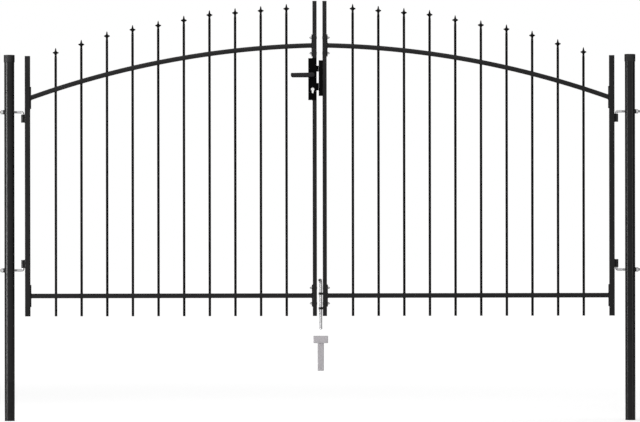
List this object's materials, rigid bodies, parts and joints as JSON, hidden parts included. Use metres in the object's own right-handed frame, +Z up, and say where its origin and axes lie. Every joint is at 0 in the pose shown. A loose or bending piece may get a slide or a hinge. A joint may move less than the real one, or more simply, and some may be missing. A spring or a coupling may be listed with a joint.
{
  "type": "double fence gate",
  "caption": "Double garden gate with arched, spear-topped steel leaves hung on hook hinges between round posts, with a lever lock, keeper, drop bolt and ground socket.",
  "frame": {"origin": "centre of the left post's foot", "axes": "+X along the gate towards the right post, +Y away from the viewer to the side that the leaves open to, +Z up"},
  "size_m": [3.056, 0.115, 1.995],
  "materials": {
    "powder_coat": "satin black powder coat with fine orange peel",
    "black_plastic": "moulded matt black plastic",
    "lock_black": "semi-matt black coated steel",
    "zinc": "bright zinc plate",
    "socket_zinc": "dull galvanised steel",
    "nickel": "satin nickel"
  },
  "bodies": {
    "posts": {"left_post": "powder_coat", "right_post": "powder_coat", "left_post_cap": "black_plastic", "right_post_cap": "black_plastic", "left_upper_hinge_hook": "zinc", "left_lower_hinge_hook": "zinc", "right_upper_hinge_hook": "zinc", "right_lower_hinge_hook": "zinc", "left_hook_nuts": "zinc", "right_hook_nuts": "zinc", "left_saddle_washers": "black_plastic", "right_saddle_washers": "black_plastic", "ground_socket": "socket_zinc"},
    "left_leaf": {"left_panel": "powder_coat", "left_spear_tips": "powder_coat", "left_hinge_stile": "powder_coat", "left_hinge_stile_plugs": "black_plastic", "left_meeting_stile": "powder_coat", "left_meeting_stile_plugs": "black_plastic", "left_hinge_barrels": "powder_coat", "lock_case": "lock_black", "lock_cylinder": "nickel"},
    "right_leaf": {"right_panel": "powder_coat", "right_spear_tips": "powder_coat", "right_hinge_stile": "powder_coat", "right_hinge_stile_plugs": "black_plastic", "right_meeting_stile": "powder_coat", "right_meeting_stile_plugs": "black_plastic", "right_hinge_barrels": "powder_coat", "lock_keeper": "lock_black", "upper_drop_bolt_guide": "powder_coat", "lower_drop_bolt_guide": "powder_coat"},
    "lever": {"front_lever": "lock_black", "back_lever": "lock_black", "lever_spindle": "zinc"},
    "latch": {"latch_bolt": "lock_black"},
    "dead_lock": {"dead_bolt": "lock_black"},
    "drop_rod": {"drop_bolt": "zinc"}
  },
  "joints": [
    {"name": "left_leaf_swing", "type": "hinge", "parent": "posts", "child": "left_leaf", "pos_m": [0.065, 0, 1.1], "axis": [0, 0, 1], "range_deg": [0, 95]},
    {"name": "right_leaf_swing", "type": "hinge", "parent": "posts", "child": "right_leaf", "pos_m": [2.887, 0, 1.1], "axis": [0, 0, -1], "range_deg": [0, 95]},
    {"name": "lever_turn", "type": "hinge", "parent": "left_leaf", "child": "lever", "pos_m": [1.44325, 0, 1.64289], "axis": [0, -1, 0], "range_deg": [0, 40], "stiffness_Nm_per_rad": 1.2, "springref_deg": -28.65},
    {"name": "latch_slide", "type": "slide", "parent": "left_leaf", "child": "latch", "axis": [-1, 0, 0], "range_m": [0, 0.0092]},
    {"name": "dead_bolt_slide", "type": "slide", "parent": "left_leaf", "child": "dead_lock", "axis": [-1, 0, 0], "range_m": [-0.012, 0.009]},
    {"name": "drop_bolt_slide", "type": "slide", "parent": "right_leaf", "child": "drop_rod", "axis": [0, 0, 1], "range_m": [-0.042, 0.06]}
  ],
  "couplings": [
    {"joint": "latch_slide", "follows": "lever_turn", "m_per_rad": 0.013}
  ]
}
